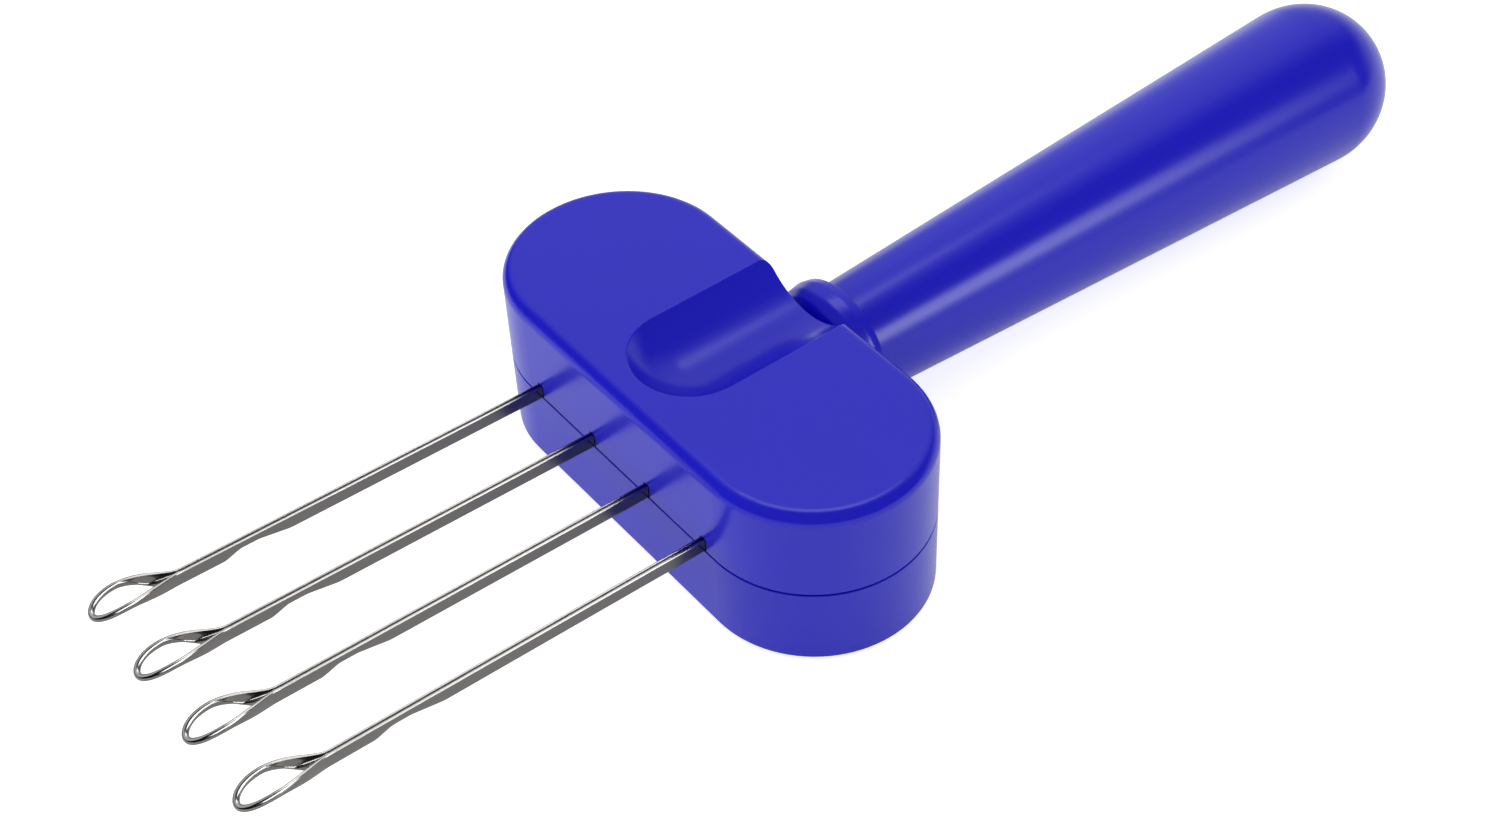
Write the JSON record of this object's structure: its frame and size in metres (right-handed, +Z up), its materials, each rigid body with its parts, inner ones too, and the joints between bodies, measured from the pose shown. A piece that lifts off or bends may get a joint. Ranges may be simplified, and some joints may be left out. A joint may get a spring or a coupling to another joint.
{
  "type": "eyelet transfer tool",
  "caption": "Hand tool with a row of steel eyelet needles in a round-ended, two-part plastic head with a thumb scoop, on a tapered round handle.",
  "frame": {"origin": "centre of the head's flat underside", "axes": "+X from the handle to the needle tips, +Y along the row of needles, +Z up through the head's scooped top"},
  "size_m": [0.1553, 0.0544, 0.0196],
  "materials": {
    "blue_plastic": "satin moulded",
    "needle_steel": "polished",
    "fastener_steel": "zinc plated"
  },
  "bodies": {
    "root": {"upper_shell": "blue_plastic", "lower_shell": "blue_plastic", "collar": "blue_plastic", "handle": "blue_plastic", "needle_1": "needle_steel", "needle_2": "needle_steel", "needle_3": "needle_steel", "needle_4": "needle_steel", "handle_tang": "fastener_steel", "assembly_screws": "fastener_steel"}
  },
  "joints": []
}
